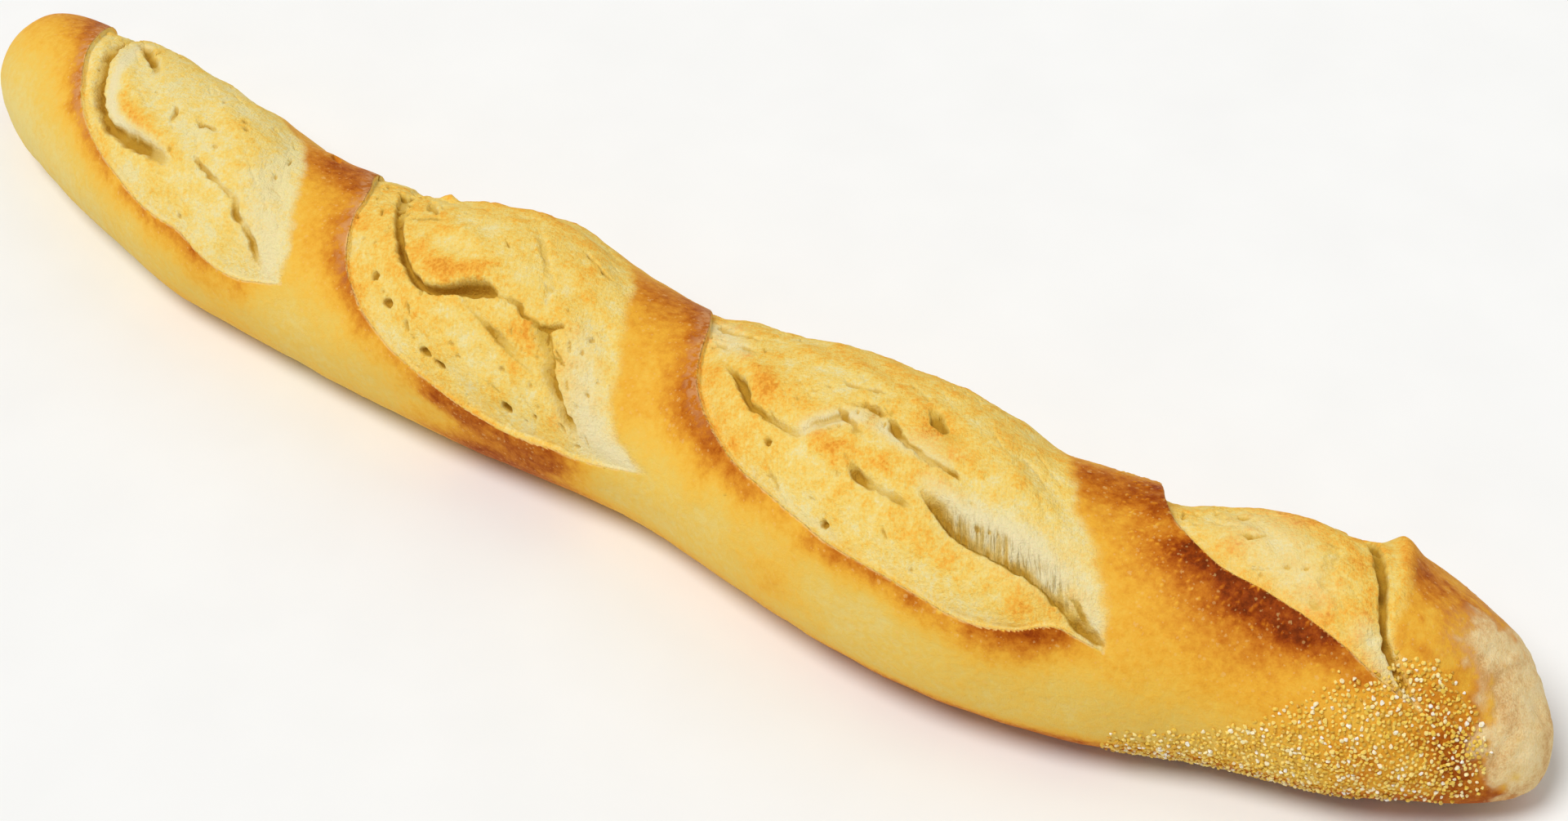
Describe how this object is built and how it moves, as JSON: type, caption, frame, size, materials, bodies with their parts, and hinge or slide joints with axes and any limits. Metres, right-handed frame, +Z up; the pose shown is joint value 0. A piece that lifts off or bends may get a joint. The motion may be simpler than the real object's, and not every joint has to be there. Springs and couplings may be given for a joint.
{
  "type": "baguette",
  "caption": "Long crusty baguette with slanted scored cuts that opened into leaf shapes, and corn grits baked onto one end.",
  "frame": {"origin": "middle of the loaf's footprint, at the height of its flat baked base", "axes": "+X along the loaf towards the end with the corn grits, +Z up, -Y towards the side where the grits are baked on"},
  "size_m": [0.45, 0.086, 0.0544],
  "materials": {
    "crust": "matte",
    "corn_grits": "matte"
  },
  "bodies": {
    "root": {"loaf": "crust"}
  },
  "joints": []
}
